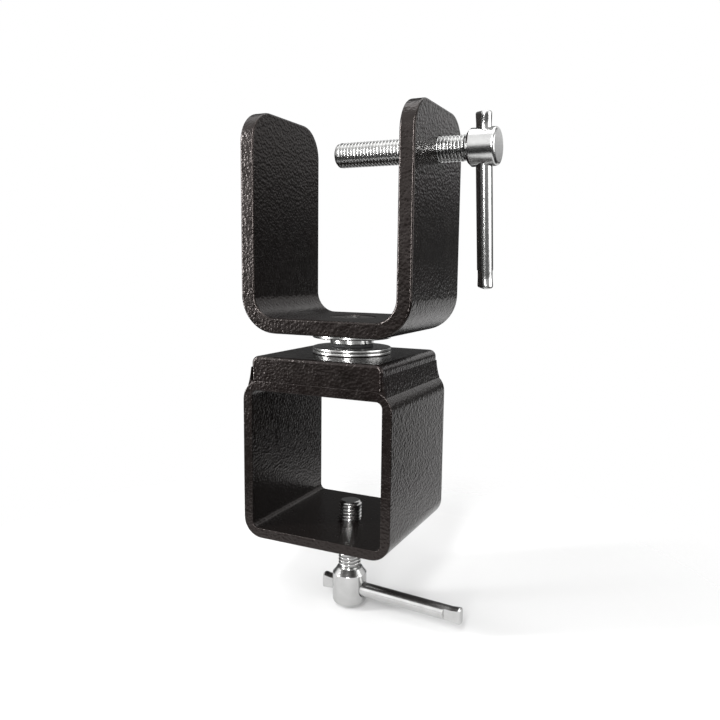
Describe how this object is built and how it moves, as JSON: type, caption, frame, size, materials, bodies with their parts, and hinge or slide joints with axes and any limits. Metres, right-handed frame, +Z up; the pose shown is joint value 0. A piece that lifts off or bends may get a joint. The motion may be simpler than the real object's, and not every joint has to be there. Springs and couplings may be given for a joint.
{
  "type": "super clamp",
  "caption": "Square-sleeve super clamp: a box-tube sleeve with a locking T-handle screw and a swivelling U fork with a second clamping screw.",
  "frame": {"origin": "centre of the sleeve's square opening, halfway along the sleeve", "axes": "+Y along the opening, +X towards the side that carries the fork's screw, +Z up along the swivel axis"},
  "size_m": [0.1177, 0.072, 0.2514],
  "materials": {
    "black_paint": "semi-gloss hammertone powder coat",
    "zinc_screw": "bright zinc plate",
    "zinc_washer": "bright zinc plate, lightly worn",
    "black_bolt": "black oxide, partly painted over",
    "black_fibre": "vulcanised fibre",
    "nylon": "natural nylon"
  },
  "bodies": {
    "sleeve": {"square_sleeve": "black_paint", "swivel_plate": "black_paint", "left_weld_bead": "black_paint", "right_weld_bead": "black_paint", "pivot_bolt": "black_bolt", "pivot_nut": "zinc_washer", "nut_nylon_ring": "nylon", "lower_washer_1": "zinc_washer", "lower_washer_2": "zinc_washer", "friction_washer": "black_fibre", "spring_washer": "zinc_washer"},
    "fork": {"u_bracket": "black_paint", "upper_washer": "zinc_washer"},
    "upper_point": {"upper_screw_point": "zinc_screw"},
    "upper_spindle": {"upper_screw_spindle": "zinc_screw"},
    "upper_bar": {"upper_tommy_bar": "zinc_screw"},
    "lower_point": {"lower_screw_point": "zinc_screw"},
    "lower_spindle": {"lower_screw_spindle": "zinc_screw"},
    "lower_bar": {"lower_tommy_bar": "zinc_screw"}
  },
  "joints": [
    {"name": "fork_swivel", "type": "hinge", "parent": "sleeve", "child": "fork", "pos_m": [0.002, 0, 0.06295], "axis": [0, 0, 1], "continuous": true},
    {"name": "upper_screw_feed", "type": "slide", "parent": "fork", "child": "upper_point", "axis": [-1, 0, 0], "range_m": [-0.0455, 0.0136]},
    {"name": "upper_screw_turn", "type": "hinge", "parent": "upper_point", "child": "upper_spindle", "pos_m": [0.052, 0, 0.15015], "axis": [-1, 0, 0], "range_deg": [-9355, 2793]},
    {"name": "upper_bar_slide", "type": "slide", "parent": "upper_spindle", "child": "upper_bar", "axis": [0, -0.1494, 0.9888], "range_m": [0, 0.048]},
    {"name": "lower_screw_feed", "type": "slide", "parent": "sleeve", "child": "lower_point", "axis": [0, 0, 1], "range_m": [-0.0094, 0.0215]},
    {"name": "lower_screw_turn", "type": "hinge", "parent": "lower_point", "child": "lower_spindle", "pos_m": [0.002, 0, -0.06], "axis": [0, 0, 1], "range_deg": [-1929, 4418]},
    {"name": "lower_bar_slide", "type": "slide", "parent": "lower_spindle", "child": "lower_bar", "axis": [-0.996, 0.0899, 0], "range_m": [0, 0.048]}
  ],
  "couplings": [
    {"joint": "upper_screw_feed", "follows": "upper_screw_turn", "m_per_rad": 0.00027852},
    {"joint": "lower_screw_feed", "follows": "lower_screw_turn", "m_per_rad": 0.00027852}
  ]
}
